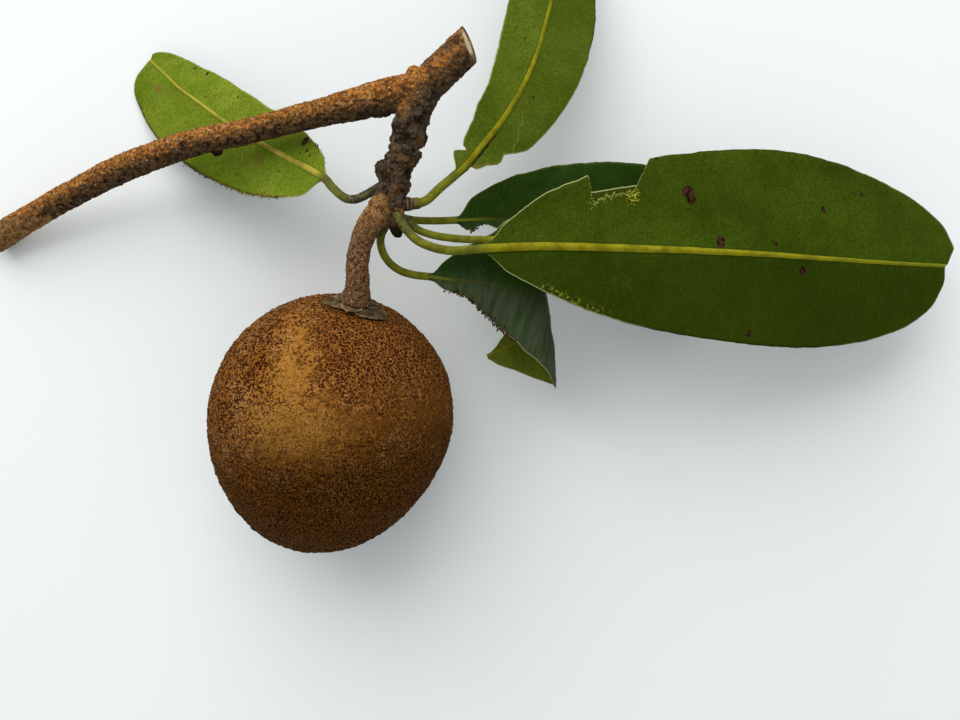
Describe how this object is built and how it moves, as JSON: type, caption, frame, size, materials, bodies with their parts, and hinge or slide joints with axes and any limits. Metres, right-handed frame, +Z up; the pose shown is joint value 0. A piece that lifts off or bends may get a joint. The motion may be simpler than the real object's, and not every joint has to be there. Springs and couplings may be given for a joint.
{
  "type": "sapodilla fruit on a cut leafy sprig",
  "caption": "Ripe round sapodilla with scurfy brown skin, hanging by its woody stalk from a cut twig with leathery green leaves, laid down on a table.",
  "frame": {"origin": "on the small flat spot that the fruit rests on, straight below the fruit's middle", "axes": "+Z up from the table, +X towards the large leaf, away from the branch's low end, +Y from the fruit towards its stalk and the wood"},
  "size_m": [0.2952, 0.1957, 0.0691],
  "materials": {
    "fruit_skin": "matte",
    "dry_calyx": "matte",
    "stalk_bark": "matte",
    "bark": "matte",
    "leaf_underside": "satin",
    "leaf_upper": "satin"
  },
  "bodies": {
    "root": {"fruit": "fruit_skin", "calyx": "dry_calyx", "fruit_stalk": "stalk_bark", "wood": "bark", "leaf_left": "leaf_underside", "leaf_top": "leaf_underside", "leaf_large": "leaf_underside", "leaf_hidden": "leaf_underside", "leaf_back": "leaf_upper", "leaf_curled": "leaf_upper"}
  },
  "joints": []
}
